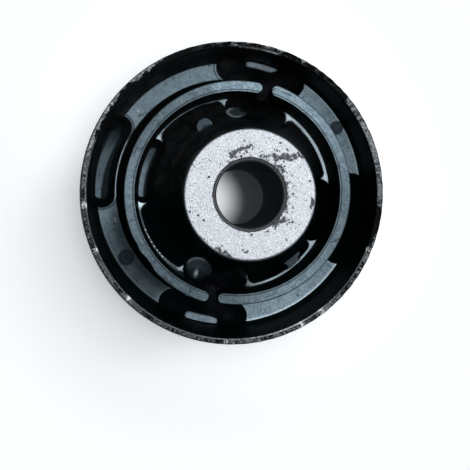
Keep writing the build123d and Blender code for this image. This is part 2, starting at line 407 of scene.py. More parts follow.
def rubber_material():
    """Black rubber: lands under bloom_and_sheen, painted highlights on edges and floors, pin marks,
    painted glints on beads of flash.
    """
    g = Graph("black_rubber")
    tone, mottle, grain = bloomed_with_sheen(g, RUBBER_BLOOM_AND_SHEEN)
    # painted highlights: where the shine layer says, edges, ledges, pocket floors and dishes turn pale
    tone = g.mix(g.layer("shine"), tone, EDGE_HIGHLIGHT)
    # a fine dark line runs along the lands' ends
    line = ring_line(g, g.layer("mouth"), 0.5, 0.2)
    height = g.times_plus(grain, 0.02, g.times(line, -0.05))
    tone = g.mix(g.times(line, 0.95), tone, LINE_BLACK)
    # ejector pins left round marks on the lands
    pins = 0.0
    for at, radius, darkness in PIN_MARKS:
        away = near_point(g, at)
        ring = ring_line(g, away, radius, 0.3)
        inner_ring = ring_line(g, away, radius * 0.6, 0.3)
        inside = g.step(away, radius, radius - 0.2)
        tone = g.mix(g.times(inside, darkness), tone, (0.008, 0.013, 0.018))
        tone = g.mix(g.times(ring, 0.9), tone, LINE_BLACK)
        tone = g.mix(g.times(inner_ring, 0.3), tone, (0.03, 0.042, 0.052))
        height = g.times_plus(ring, -0.1, height)
        pins = g.math("ADD", inside, pins)
    # the painted highlights are also made partly metallic, to catch more of the light
    metal = g.times(g.layer("shine"), 0.28)
    # painted glints: white, partly metallic spots on beads of flash along the ledges
    for *at, radius in BEAD_GLINTS:
        bead_glint = g.step(near_point(g, at), radius * 1.3, radius * 0.8)
        tone = g.mix(bead_glint, tone, (0.97, 0.98, 1.0))
        metal = g.larger(metal, g.times(bead_glint, 0.4))
    for start, end, reach, color in LAND_MARKS:
        tone = g.mix(ragged_line(g, mottle, start, end, reach, 0.4), tone, color)
    rough = g.mix(g.step(g.layer("bloom_and_sheen"), 0.1, 0.9), 0.72, 0.30)
    rough = g.mix(pins, g.times_plus(g.centred(mottle), 0.5, rough), 0.9)
    return g.surface(
        Base_Color=tone, Metallic=metal, Roughness=rough,
        Normal=g.bump(height, 1.0), Specular_IOR_Level=0.5, Specular_Tint=COAT_TINT,
    )


LINE_BLACK = (0.001, 0.002, 0.003)
EDGE_HIGHLIGHT = (0.80, 0.93, 1.0)
# marks on the lands: from, to, reach and colour
LAND_MARKS = (
    ((-25, 13.45), (-24.95, 13.5), 0.35, (0.62, 0.66, 0.68)),
    ((-24.6, 12.4), (-23.6, 13), 0.4, (0.03, 0.03, 0.03)),
    ((-24.3, 11.2), (-23.6, 12.1), 0.35, (0.22, 0.26, 0.29)),
    ((-18.9, 22.9), (-18.8, 22.8), 0.28, (0.01, 0.015, 0.02)),
    ((-15.1, 24.1), (-15, 24), 0.28, (0.01, 0.015, 0.02)),
    ((-20.1, 21.1), (-20, 21), 0.25, (0.02, 0.03, 0.04)),
    ((21.6, -20), (21.5, -19.9), 0.3, (0.01, 0.015, 0.02)),
    ((13.7, -24.6), (14, -25.8), 0.16, (0.08, 0.11, 0.13)),
    ((-24.6, -12.2), (-24.1, -12.9), 0.3, (0.2, 0.24, 0.27)),
)
# white spots on the ledges inside the west shell, painted glints on beads of flash: x, y, radius
BEAD_GLINTS = (
    (-18.12, 10.49, 0.3), (-18.91, 8.23, 0.25), (-16.94, -13.3, 0.22), (-16.2, -14.2, 0.15),
    (-15.75, -14.72, 0.2), (-14.9, -15.7, 0.16), (-14, -16.6, 0.18), (-13.1, -17.3, 0.16),
    (-12.3, -17.8, 0.18), (-11.52, -18.22, 0.32), (-10.6, -18.6, 0.2), (-9.9, -18.9, 0.26),
)
# the ejector pins' marks: place, radius, darkness
PIN_MARKS = (((21.18, 20.63), 1.45, 0.72), ((-19.83, -20.58), 1.65, 0.9))


def dull_material(name):
    """Steep walls of the moulding and of the coated shells: a deep black that hardly shines, with
    painted sheen and shade by side.
    """
    g = Graph(name)
    cloud = g.noise(4.0, 4.0, 0.6)
    grain = g.noise(0.5, 3.0, 0.6)
    # painted light and shade: the +X side stays blackest as in shade, the -X side is greyer, the lobe
    # at +X+Y greyest as painted sheen
    grey = g.step(near_point(g, (12, 15)), 10, 3)
    west = g.times(g.step(g.along("X"), 8, -8), g.step(g.along("Y"), -8, 4))
    tone = g.mix(west, (0.0010, 0.0052, 0.0052), (0.008, 0.012, 0.013))
    tone = g.mix(grey, tone, (0.026, 0.030, 0.034))
    tone = g.mix(g.times(g.step(cloud, 0.42, 0.66), west), tone, (0.028, 0.028, 0.030))
    tone = g.mix(g.times(g.step(grain, 0.62, 0.74), west), tone, (0.075, 0.078, 0.084))
    tone = g.mix(g.layer("web_dull"), tone, (0.010, 0.011, 0.014))
    rough = g.mix(g.step(grain, 0.3, 0.75), 0.5, 0.7)
    return g.surface(
        Base_Color=tone, Roughness=rough, Normal=g.bump(grain, 0.06), Specular_IOR_Level=0.06
    )


# how thick bloom_and_sheen lies on the shells' ends, set by direction to paint the sheen of the
# overhead light, in degrees
RING_BLOOM_AND_SHEEN = (
    (0, 0.58), (14, 0.62), (40, 0.98), (58, 1.15), (78, 1.3), (104, 1.3), (112, 1.2), (116, 0.7),
    (136, 0.6), (150, 0.52), (193, 0.76), (215, 0.58), (238, 0.48), (262, 0.46), (275, 0.6),
    (284, 0.46), (305, 0.8), (328, 0.85), (345, 0.66), (360, 0.62),
)
# scratches and dents in them: from, to, reach, depth of colour
RING_MARKS = (
    ((-10.4, -21.9), (-7.6, -23.6), 0.35, 0.6), ((-9.6, -20.6), (-8.2, -21.6), 0.3, 0.5),
    ((-3.9, -23.2), (-3.75, -24), 0.3, 0.7), ((19.1, -15.6), (19.5, -15.1), 0.3, 0.5),
    ((24.2, -5.9), (25.7, -4.7), 0.25, 0.8), ((5.6, 23.9), (8.1, 23.5), 0.16, 0.7),
    ((3.5, 23.7), (3.9, 24.1), 0.35, 0.8), ((21.7, 10.9), (21.8, 10.4), 0.35, 0.8),
    ((12.4, -21.3), (14.9, -19.8), 0.14, 0.5), ((-22.8, 3.1), (-22.6, 4.2), 0.3, 0.5),
    ((-19, 14.2), (-18.7, 14.6), 0.25, 0.6), ((-24.1, -3.1), (-24, -2.8), 0.25, 0.7),
)


def shell_material(name, shift):
    """A half shell's coat under bloom_and_sheen, with a dark line near the inner edge of its end,
    painted shade along its outer edge, and dents.
    """
    g = Graph(name)
    tone, mottle, grain = bloomed_with_sheen(g, COAT_BLOOM_AND_SHEEN)
    from_axis = near_point(g, (SHELL_X + shift[0], shift[1]))
    # a dark line near the inner edge of the end, and painted shade along the outer edge, where its
    # rounding reflects the dark
    line = ring_line(g, from_axis, SHELL_BORE + 0.42, 0.2)
    line = g.larger(line, g.step(from_axis, SHELL_R - 0.26, SHELL_R - 0.16))
    tone = g.mix(g.times(line, 0.85), tone, (0.004, 0.006, 0.008))
    height = g.times_plus(grain, 0.02, g.times(line, -0.04))
    for start, end, reach, depth in RING_MARKS:
        mark = g.times(ragged_line(g, mottle, start, end, reach, 0.5), depth)
        tone = g.mix(mark, tone, (0.006, 0.009, 0.012))
        height = g.times_plus(mark, -0.05, height)
    rough = g.mix(g.step(g.layer("bloom_and_sheen"), 0.2, 1.0), 0.66, 0.28)
    rough = g.times_plus(g.centred(mottle), 0.4, rough)
    return g.surface(
        Base_Color=tone, Roughness=rough, Normal=g.bump(height, 1.0),
        Specular_IOR_Level=0.5, Specular_Tint=COAT_TINT,
    )


def aluminium_material():
    """Blasted aluminium with flakes of an old coat."""
    g = Graph("blasted_aluminium")
    grain = g.noise(0.26, 3.0, 0.75)
    cloud = g.noise(2.5, 4.0, 0.65)
    pits = g.noise(0.52, 4.0, 0.8)
    coat = g.layer("coat")
    tone = g.mix(g.step(grain, 0.36, 0.64), (0.33, 0.35, 0.38), (0.70, 0.72, 0.74))
    tone = g.mix(g.step(cloud, 0.35, 0.7, 0.4), tone, (0.42, 0.45, 0.49))
    # flakes of the old coat: specks, patches, and a ragged border round the bore
    flakes = g.step(g.math("ADD", coat, pits), 0.93, 0.97)
    specks = g.times(g.step(g.spots(2.4), 0.14, 0.09), g.step(g.noise(6.0), 0.42, 0.48))
    fine = g.times(g.step(g.noise(0.45, 3.0, 0.6), 0.645, 0.70), 0.85)
    flakes = g.larger(flakes, specks, fine)
    # small angular flecks where the patches thin out
    thin = g.step(g.times_plus(cloud, 0.4, coat), 0.30, 0.44)
    flecks = g.step(g.spots(0.75, metric="MANHATTAN"), 0.44, 0.36)
    flecks = g.times(flecks, thin, g.step(g.noise(1.0), 0.44, 0.50))
    flakes = g.larger(flakes, flecks)
    dark = g.mix(g.step(grain, 0.4, 0.6), (0.040, 0.046, 0.052), (0.13, 0.14, 0.15))
    tone = g.mix(flakes, tone, dark)
    # painted shade: the chamfer and the bore get a darker tone
    tone = g.mix(g.layer("inside"), tone, (0.118, 0.150, 0.176))
    # dark lines along both edges of the chamfer
    from_axis = near_point(g, (CORE_X, 0))
    ragged = g.times_plus(g.centred(pits), 0.4, from_axis)
    inner_line = g.times(ring_line(g, from_axis, BORE_R + 0.15, 0.14), 0.8)
    outer_line = g.times(ring_line(g, ragged, BORE_R + BORE_EDGE + 0.06, 0.16), 0.7)
    tone = g.mix(g.larger(inner_line, outer_line), tone, (0.012, 0.015, 0.018))
    height = g.times_plus(grain, 0.05, g.times(flakes, -0.03))
    return g.surface(
        Base_Color=tone, Metallic=g.math("SUBTRACT", 1, flakes),
        Roughness=g.mix(flakes, 0.5, 0.6), Normal=g.bump(height, 1.0), Specular_IOR_Level=0.3,
    )


def bare_rim(g, out, ragged, streaks, blocks):
    """Where the coat is worn off the rim, and the bright hairline along its inner edge, bare steel with
    a painted highlight.
    """
    level = g.math("SUBTRACT", out, g.layer("cover"))
    bare = g.step(g.times_plus(g.centred(ragged), 2.6, level), -0.06, 0.06)
    worn = g.math("ADD", g.times(streaks, 0.6), g.times(blocks, 0.4))
    lost = g.times(g.step(worn, 0.50, 0.56), g.layer("speckle"))
    bare = g.times(bare, g.math("SUBTRACT", 1, lost))
    # the outermost strip stays black
    lip = g.times(g.step(out, 0.84, 0.92), g.layer("lip"))
    bare = g.times(bare, g.math("SUBTRACT", 1, lip))
    inner_line = g.times_plus(g.centred(ragged), 0.5, out)
    shown = g.step(g.layer("hairline"), 0.0, 0.05)
    hairline = g.times(g.step(inner_line, 0.34, 0.22), shown)
    return g.times(g.larger(bare, hairline), g.layer("top")), hairline


def bare_steel(g, grain, streaks, hairline):
    """Tone of the rim where it is bare, with its hairline and the painted glints."""
    metal = g.mix(g.step(grain, 0.38, 0.62), (0.045, 0.052, 0.056), (0.17, 0.185, 0.195))
    metal = g.mix(g.step(g.spots(3.6), 0.20, 0.12), metal, (0.62, 0.64, 0.66))
    metal = g.vector("MULTIPLY", metal, g.layer("wear"))
    hairline_tone = g.mix(g.step(streaks, 0.35, 0.6), (0.3, 0.31, 0.32), (0.9, 0.93, 0.95))
    metal = g.mix(hairline, metal, g.vector("MULTIPLY", hairline_tone, g.layer("hairline")))
    # painted highlights: bright spots at the gleams
    return g.mix(g.layer("gleam"), metal, (0.60, 0.62, 0.64))


def rim_coat(g, out, ragged, grain, streaks):
    """Tone of the black coat on the rim, mottled where rubber flash lies over it at +Y, with painted
    highlight streaks at the gleams.
    """
    black = g.mix(g.step(grain, 0.5, 0.7), (0.0008, 0.0012, 0.0014), (0.006, 0.007, 0.008))
    flash = g.times(g.layer("flash"), g.step(out, 0.1, 0.4))
    black = g.mix(g.times(flash, g.step(ragged, 0.50, 0.62)), black, (0.055, 0.058, 0.064))
    black = g.mix(g.times(flash, g.step(streaks, 0.62, 0.70)), black, (0.20, 0.20, 0.21))
    # painted highlight: a pale streak in the coat at the gleams
    streak = g.times(g.step(out, 0.2, 0.35), g.step(out, 0.6, 0.45), g.layer("gleam"))
    return g.mix(g.times(streak, g.step(ragged, 0.40, 0.50)), black, (0.40, 0.41, 0.44))


def sleeve_material():
    """Steel under a black bonding coat, which is worn off most of the upper rim."""
    g = Graph("coated_steel")
    ragged = g.noise(1.5, 5.0, 0.75)
    grain = g.noise(0.35, 3.0, 0.7)
    radius = near_point(g, SLEEVE_SHIFT)
    # how far out a place lies across the rim, from 0 to 1
    out = g.math("DIVIDE", g.math("SUBTRACT", radius, LINING_R), SLEEVE_WALL)
    round_rim = g.node("CombineXYZ", 0, {"X": g.layer("round"), "Y": g.times(radius, 0.35)})
    streaks = g.noise(0.55, 3.0, 0.65, place=round_rim)
    blocks = g.noise(3.0, 3.0, 0.6, place=round_rim)
    bare, hairline = bare_rim(g, out, ragged, streaks, blocks)
    metal = bare_steel(g, grain, streaks, hairline)
    # the coat on the outside is greyer, with upright scuffs from pressing in
    cloud = g.noise(9.0, 4.0, 0.6)
    scuffs = g.noise(0.9, 4.0, 0.7, stretch=(1, 1, 0.06))
    side = g.times(g.step(g.along("Z"), RIM_Z - 3, RIM_Z - 7), g.step(radius, LINING_R, LINING_R + 1))
    coat = g.mix(g.step(cloud, 0.35, 0.65), (0.018, 0.020, 0.022), (0.034, 0.037, 0.040))
    coat = g.mix(g.step(scuffs, 0.62, 0.75, 0.6), coat, (0.13, 0.14, 0.145))
    black = g.mix(side, rim_coat(g, out, ragged, grain, streaks), coat)
    height = g.times_plus(bare, -0.05, g.times(grain, 0.04))
    height = g.times_plus(scuffs, g.times(side, -0.04), height)
    height = g.times_plus(ragged, g.times(g.layer("flash"), 0.6), height)
    return g.surface(
        Base_Color=g.mix(bare, black, metal), Metallic=g.times(bare, 0.7),
        Roughness=g.mix(bare, 0.6, 0.42), Normal=g.bump(height, 1.0), Specular_IOR_Level=0.07,
    )


# ---- rubber moulding
class Pocket:
    """A relief pocket: an arc slot with sloping walls round a smaller floor.

    The mouth is (direction, half angle, inner radius, outer radius), its angles in degrees.
    The floor is another such slot, or an oval as the function oval takes it. The higher the
    fade, the softer the walls run out into the floor.
    """

    def __init__(self, axis_x, depth, fade, mouth, floor):
        self.axis_x, self.depth, self.fade, self.mouth, self.floor = axis_x, depth, fade, mouth, floor

    def distance(self, x, y, outline):
        """Signed distance to the mouth's or the floor's outline, below zero inside it."""
        if isinstance(outline[0], tuple):
            return oval(x, y, *outline)
        facing, half_angle, inner, outer = outline
        return arc_slot(x, y, self.axis_x, radians(facing), inner, outer, radians(half_angle))

    def share(self, x, y):
        """0 at the mouth's edge and 1 on the floor."""
        inside = np.clip(-self.distance(x, y, self.mouth), 0, None)
        to_floor = np.clip(self.distance(x, y, self.floor), 0, None)
        return 1 - (to_floor / (inside + to_floor + 1e-6)) ** self.fade


PAST_LINING = LINING_R + 0.6
PAST_SHELL = SHELL_BORE + 0.6
# relief pockets, from +X round to -Y: fade, mouth and floor
OUTER_POCKETS = [Pocket(0, OUTER_DEPTH, *pocket) for pocket in (
    (1.0, (0.6, 21.6, SHELL_R + 0.3, PAST_LINING), (1.8, 17, 28.9, 29.1)),
    (1.25, (88.2, 21.0, MOAT_R - 0.5, PAST_LINING), (88.2, 7.4, 30.2, 31.75)),
    (2.6, (178.9, 21.5, MOAT_R + 0.45, PAST_LINING), (180.8, 14.6, 29.0, PAST_LINING)),
    (1.25, (271, 21.0, MOAT_R - 0.5, PAST_LINING), (271.6, 7.6, 29.9, 32.0)),
)]
INNER_POCKETS = [Pocket(SHELL_X, INNER_DEPTH, *pocket) for pocket in (
    (1.0, (2.1, 21.1, 17.2, PAST_SHELL), (1.8, 15, 20.7, 20.8)),
    (1.0, (88.1, 21.1, 17.3, PAST_SHELL), ((-2.5, 19.15), 2.5, 1.3, 9.6)),
    (2.4, (178.6, 20.8, 19.4, PAST_SHELL), (179.8, 15.4, 21.0, PAST_SHELL)),
    (1.0, (270.9, 22.5, 16.6, PAST_SHELL), ((-2.5, -19.4), 3.3, 2.7, -8)),
)]
# low mounds on the floors between shells and core: x, y, radius, height
MOUNDS = ((-0.7, 20.8, 0.9, 0.9), (-2.85, -20.6, 0.9, 0.15))


def to_mouths(pockets, x, y):
    """Signed distance to the nearest mouth of the pockets."""
    return np.min([pocket.distance(x, y, pocket.mouth) for pocket in pockets], axis=0)


def outer_height(x, y):
    """Height of the rubber between the shells and the sleeve, and how far down a pocket it is."""
    radius, turn = np.hypot(x, y), np.arctan2(y, x)
    sunk = np.max([pocket.share(x, y) for pocket in OUTER_POCKETS], axis=0)
    share = np.clip((MOAT_R - radius) / MOAT_SPAN, 0, 1)
    moat = ramp(np.abs(turn), MOAT_END, MOAT_END + radians(4)) * (1 - (1 - share) ** 1.6)
    # three of the lands rise a little towards the sleeve
    rise = by_quarter(x, y, LAND_RISES) * np.clip(radius - MOAT_R, 0, None) * (1 - sunk)
    land = LAND_Z + rise - OUTER_DEPTH * sunk
    return np.where(moat > 0, np.minimum(land, LAND_Z - MOAT_DEPTH * moat), land), sunk


def cone_height(x, y):
    """Height of the oblique concave cone that climbs from the ledges to the inner sleeve."""
    dx, dy = x - CORE_X, y
    spread = CONE_FOOT_R - CONE_R
    a = CORE_LEAD**2 - spread**2
    b = 2 * (dx * CORE_LEAD - CONE_R * spread)
    c = dx * dx + dy * dy - CONE_R**2
    share = (-b - np.sqrt(np.clip(b * b - 4 * a * c, 0, None))) / (2 * a)
    near = 1 - np.clip(share, 0, 1)
    return LEDGE_Z + (CONE_TOP - LEDGE_Z) * (CONE_START * near + (1 - CONE_START) * near**3)


def rounded_both(a, b, corner):
    """Signed distance to what two outlines share, with the convex corners rounded."""
    both = np.maximum(a, b)
    round_part = np.hypot(np.clip(corner + a, 0, None), np.clip(corner + b, 0, None))
    return np.minimum(-corner, both) + round_part


def inner_height(x, y):
    """Height of the rubber between the shells and the inner sleeve."""
    to_shell = np.hypot(x - SHELL_X, y) - SHELL_BORE
    lobes = to_shell + by_quarter(x, y, LEDGES)
    skin = np.hypot(x - CORE_X, y) - CORE_SKIN_R
    # the ledges rise a little towards the shells
    up = np.clip(to_shell + 2.5, 0, None)
    height = LEDGE_Z + by_quarter(x, y, LEDGE_RISES) * up
    corners = by_quarter(x, y, LOBE_CORNERS)
    for pocket in INNER_POCKETS:
        height -= pocket.depth * pocket.share(x, y)
        lobes = rounded_both(lobes, -pocket.distance(x, y, pocket.mouth), corners)
    # the dish at -Y curves up towards the shell
    height += SCOOP_CURVE * np.clip(SCOOP_FLAT - y, 0, None) ** 2 * (y < 0)
    for *at, size, rise in MOUNDS:
        height += rise * hump(from_point(x, y, at), 0, size)
    climb = ramp(-np.minimum(lobes, skin), 0.0, 0.35)
    height = height + (np.maximum(cone_height(x, y), height) - height) * climb
    boss = ramp(from_point(x, y, BOSS_AT), BOSS_R, BOSS_R - 0.25)
    height = np.where(boss > 0, np.maximum(height, BOSS_Z - 4 * (1 - boss)), height)
    # an uneven lump of flash on the +X-Y ledge, its outline a few blunt points
    around = np.arctan2(y - LUMP_AT[1], x - LUMP_AT[0])
    uneven = 0.25 * np.sin(7 * around + 0.6) + 0.12 * np.sin(4 * around + 2.0)
    lump = ramp(oval(x, y, LUMP_AT, *LUMP_HALF, LUMP_TILT) - uneven, 0.25, -0.15)
    lump = lump * ramp(to_shell, -0.6, -0.8)
    crest = LUMP_Z - 0.22 * to_shell
    return np.where(lump > 0, np.maximum(height, crest - 3 * (1 - lump)), height)


def near_path(x, y, path):
    """Distance to a line of points, and the share of its length that the nearest point is at."""
    path = np.asarray(path, float)
    best, where = np.full_like(x, 1e3), np.zeros_like(x)
    for i in range(len(path) - 1):
        start, along = path[i], path[i + 1] - path[i]
        share = np.clip(((x - start[0]) * along[0] + (y - start[1]) * along[1]) / (along @ along), 0, 1)
        away = np.hypot(x - start[0] - share * along[0], y - start[1] - share * along[1])
        where = np.where(away < best, (i + share) / (len(path) - 1), where)
        best = np.minimum(best, away)
    return best, where


# how bright the painted highlights are, from +X+Y round to +X-Y: on the lands' outer edges and ends,
# on the ledges along the shells and on their horns
EDGE_SHINE = (0.40, 0.0, 0.08, 0.75)
END_SHINE = (0.45, 0.12, 0.15, 0.6)
LEDGE_SHINE = (0.85, 0.08, 0.05, 0.5)
HORN_SHINE = (1.0, 0.5, 0.9, 0.6)
RIDGE_SHINE = 0.55                        # the ridge between the moat and the -X pocket
PATCH_SHINE = (0.34, 0.12)                # painted highlight on the floors of the +Y and the -Y pocket


# middle of each shell gap, and the rib that runs from it to the lining
WEBS = (
    (2.4, 1, ((2.1, 24.4), (3.85, 26.7), (5.95, 28.2), (8.6, 29.4))),
    (1.5, -1, ((1.5, -24.4), (2.4, -26.2), (4.0, -27.1), (6.0, -28.3))),
)


def web_height(x, y):
    """Height of the webs in the shell gaps and of the ribs that run from them to the lining."""
    height = np.full_like(x, -1e3)
    for gap_x, side, rib in WEBS:
        across = np.abs(x - gap_x) - WEB_HALF
        along = np.abs(side * y - (SHELL_R + SHELL_BORE) / 2) - SHELL_WALL / 2 - WEB_LAP
        web = rounded_both(across, along, 1.2)
        sag = 1.6 * ramp(np.abs(x - gap_x), WEB_HALF, 0)
        height = np.maximum(height, WEB_TOP - sag - 14 * ramp(web, -0.6, 0.7))
        away, where = near_path(x, y, rib)
        crest = RIB_TOP + 2.5 * (1 - where) ** 2 - 4 * where**3
        height = np.maximum(height, crest - 0.34 * away**2 - 0.5 * np.clip(away - 0.8, 0, None) ** 2)
    return height


def rubber_sheet(columns, fine):
    """Rows of points over one end of the moulding, from the inner sleeve to the outer one."""
    turn = np.linspace(0, 2 * pi, columns, endpoint=False)

    def loops(first, last, count):
        """Loops from one (x, y, radius) circle towards another, without the last."""
        for i in range(max(1, round(count * fine))):
            share = i / max(1, round(count * fine))
            yield tuple(p + (q - p) * share for p, q in zip(first, last))

    core = (CORE_X, 0.0, CORE_R - 0.05)
    shell_in, shell_out = (SHELL_X, 0.0, SHELL_BORE), (SHELL_X, 0.0, SHELL_R)
    moat, lining = (0.0, 0.0, MOAT_R), (0.0, 0.0, LINING_R)
    root = (0.0, 0.0, LINING_R - max(LAND_ROOTS))
    plan = [*loops(core, shell_in, 42), *loops(shell_in, shell_out, 6), *loops(shell_out, moat, 8)]
    plan += [*loops(moat, root, 20), *loops(root, lining, 11), lining]
    axis_x, axis_y, radius = np.array(plan).T[..., None]
    x, y = axis_x + radius * np.cos(turn), axis_y + radius * np.sin(turn)
    inside = ramp(np.hypot(x - SHELL_X, y), SHELL_BORE + 0.9, SHELL_BORE + 0.6)
    outer, sunk = outer_height(x, y)
    z = outer * (1 - inside) + inner_height(x, y) * inside
    z = np.maximum(z, web_height(x, y))
    # a fillet runs up from the lands and the pockets' floors to the lining
    fillet = by_quarter(x, y, LAND_ROOTS)
    fillet = fillet + (FLOOR_ROOT - fillet) * sunk
    rise = np.clip(np.hypot(x, y) - (LINING_R - fillet), 0, fillet)
    z = z + 1.5 * fillet * (rise / fillet) ** 1.2
    # end face of the rubber round the inner sleeve
    z = np.minimum(z, CONE_TOP - 0.25 * ramp(np.hypot(x - CORE_X, y), CORE_R + 0.3, CONE_R))
    rows = [np.stack([x, y, z], axis=-1)]
    # up the lining to its lip, which turns outwards into the rim
    foot = z[-1]
    up = np.linspace(0, 1, max(4, round(18 * fine)) + 1)[1:, None]
    lean = np.array(SLEEVE_SHIFT) * up[..., None]
    climb = foot + (LINING_TOP - 0.15 - foot) * up
    rows.append(np.concatenate([LINING_R * unit(turn) + lean, climb[..., None]], axis=-1))
    for out, height in ((0.04, LINING_TOP - 0.05), (0.12, LINING_TOP), (0.5, LINING_TOP)):
        ring = (LINING_R + out) * unit(turn) + SLEEVE_SHIFT
        rows.append(np.concatenate([ring, np.full((columns, 1), height)], axis=-1)[None])
    return np.concatenate(rows)


# bloom_and_sheen on the lands, set by direction to paint the overhead light's sheen: direction in
# degrees, share
LAND_BLOOM_AND_SHEEN = (
    (0, 0.8), (25, 1.4), (45, 1.3), (62, 1.5), (80, 1.9), (100, 1.9), (109, 1.4), (125, 1.05),
    (145, 0.84), (158, 0.9), (164, 0.06), (169, 0.2), (174, 0.58), (186, 0.66), (192, 0.85),
    (196, 1.1), (199, 0.6), (202, 0.75), (214, 0.42), (228, 0.24), (246, 0.3), (252, 0.6), (262, 1),
    (276, 1.2), (285, 1.6), (310, 1.65), (335, 1.4), (360, 0.8),
)
LEDGE_BLOOM_AND_SHEEN = (1.8, 1.1, 1.6, 1.7)        # and on the ledges, from +X+Y round to +X-Y
WEST_MIDDLE = 181.5                       # direction of the painted highlight on the ridge and the painted lit strips on the floors at -X
# places in the pockets darkened as painted shade, without gloss or bloom_and_sheen: x, y, radius
MATT_SHADE_SPOTS = ((4.4, -20.5, 3.8), (4.6, 19.6, 3.8), (-6.6, 28.9, 3.4), (-6.6, -28.9, 3.4))


def from_west(x, y):
    """Degrees between a point's direction and that of the ridge and floors at -X."""
    return np.abs(np.degrees(np.arctan2(y, x)) % 360 - WEST_MIDDLE)


def land_shine(x, y, mouth, on_land):
    """Painted highlights along the lands' outer edges and ends, and on the ridge at -X."""
    radius = np.hypot(x, y)
    edge = LINING_R - by_quarter(x, y, LAND_ROOTS) - radius
    edges = by_quarter(x, y, EDGE_SHINE) * hump(edge, 0.14, 0.3) * (mouth > 0.05)
    ends = by_quarter(x, y, END_SHINE) * hump(mouth, 0.12, 0.14)
    ridge = ramp(radius, MOAT_R + 1.3, MOAT_R + 0.7) * ramp(from_west(x, y), 17, 13)
    return np.max([edges, ends, RIDGE_SHINE * ridge], axis=0) * on_land


def ledge_shine(x, y, on_ledge):
    """Painted highlights on the ledges along the shells and on their horns."""
    glint, horn = by_quarter(x, y, LEDGE_SHINE), by_quarter(x, y, HORN_SHINE)
    near_mouth = ramp(to_mouths(INNER_POCKETS, x, y), 2.0, 0.8)
    return (glint + (horn - glint) * near_mouth) * on_ledge


def first_bloom_and_sheen(x, y, turn, inside, on_ledge):
    """The bloom_and_sheen of the lands and the ledges, painted sheen included, before anything that
    lies on them.
    """
    dish = 0.45 - 0.2 * (y < 0)
    within = np.where(x < -12, 1.7, dish) * (1 - 0.6 * ramp(turn, 180, 167))
    bloom_and_sheen = np.where(inside, within, by_direction(turn, LAND_BLOOM_AND_SHEEN))
    bloom_and_sheen = np.where(on_ledge, by_quarter(x, y, LEDGE_BLOOM_AND_SHEEN), bloom_and_sheen)
    # it is weaker towards the shells on the -X-Y land
    radius = np.hypot(x, y)
    thin = ramp(radius, 29.5, 27.2) * ramp(turn, 196, 206) * ramp(turn, 262, 250)
    return bloom_and_sheen * (1 - 0.6 * thin)


def outer_patches(x, y, shine, bloom_and_sheen):
    """Painted highlight on the floors of the +Y and the -Y pocket, with bloom_and_sheen cut down round
    them as painted shade.
    """
    for pocket, glow in zip(OUTER_POCKETS[1::2], PATCH_SHINE):
        from_floor = pocket.distance(x, y, pocket.floor)
        on_patch = ramp(from_floor, 0.1, -0.6)
        shine = np.maximum(shine, glow * on_patch)
        bloom_and_sheen = np.where(from_floor < 0.6, bloom_and_sheen * (0.1 + 0.9 * on_patch), bloom_and_sheen)
    return shine, bloom_and_sheen


def dishes(x, y, inside, shine, bloom_and_sheen):
    """Painted highlights and painted shade in the two dishes between shells and core.

    Each has a painted dark middle and a painted bright edge; the one at -Y has a painted bright spot
    too.
    """
    lens = oval(x, y, *INNER_POCKETS[1].floor)
    bloom_and_sheen = np.where(inside & (y > 0) & (lens < 0), 0.16, bloom_and_sheen)
    lens_edge = 0.5 * hump(lens, -0.25, 0.22) * ramp(x + 2 * y, 37.5, 34.5)
    spot = 0.9 * np.exp(-((x + 2.85) ** 2 / 0.14 + (y + 20.6) ** 2 / 0.5))
    scoop = oval(x, y, *INNER_POCKETS[3].floor)
    scoop_edge = 0.35 * hump(scoop, -0.3, 0.3) * ramp(y, -19.2, -18.0) * ramp(x, -0.6, -3.0)
    # painted shade: the -Y dish darkens towards +X
    in_scoop = inside & (y < 0) & (scoop < 0.3)
    bloom_and_sheen = np.where(in_scoop, bloom_and_sheen * (0.15 + 0.85 * ramp(x, 0.3, -3.2)), bloom_and_sheen)
    glints = np.where(y > 0, lens_edge, spot + scoop_edge)
    return np.maximum(shine, glints * inside), bloom_and_sheen


def west_floors(x, y, z, turn, inside, bloom_and_sheen):
    """bloom_and_sheen cut down to a painted lit strip on each floor on the -X side, painted shade
    beside it.

    The floors lie askew: their grey starts and ends further out at -X-Y.
    """
    radius = np.hypot(x, y)
    askew = np.clip((turn - 167) / 29, 0, 1)
    strip = ramp(radius - 1.5 * askew, 28.6, 29.2) * ramp(radius - 1.4 * askew, 31.3, 30.7)
    inner_strip = ramp(np.hypot(x - SHELL_X, y) - 0.4 * askew, 20.8, 21.5)
    on_floor = (z < LAND_Z - 3.5) & (from_west(x, y) < 20)
    bloom_and_sheen = np.where(on_floor & (radius > SHELL_R), bloom_and_sheen * 0.85 * strip, bloom_and_sheen)
    return np.where(on_floor & inside, bloom_and_sheen * 0.55 * inner_strip, bloom_and_sheen)


def bosses(x, y, z, inside, bloom_and_sheen):
    """bloom_and_sheen with the lump of flash, and the boss, greyer along its edge and dark over a bite
    at +X.
    """
    boss = from_point(x, y, BOSS_AT)
    from_bite = oval(x, y, (BOSS_AT[0] + 0.7, BOSS_AT[1] - 0.1), 1.3, 0.6, 25)
    bite = ramp(from_bite + 0.12 * np.sin(5 * x), 0.15, -0.15)
    bloom_and_sheen = np.where(boss < BOSS_R, (0.26 + 0.35 * ramp(boss, 1.5, 1.9)) * (1 - 0.9 * bite), bloom_and_sheen)
    lump = from_point(x, y, LUMP_AT) < 3.2
    return np.where(inside & lump & (z > LEDGE_Z + 1), 0.5, bloom_and_sheen)


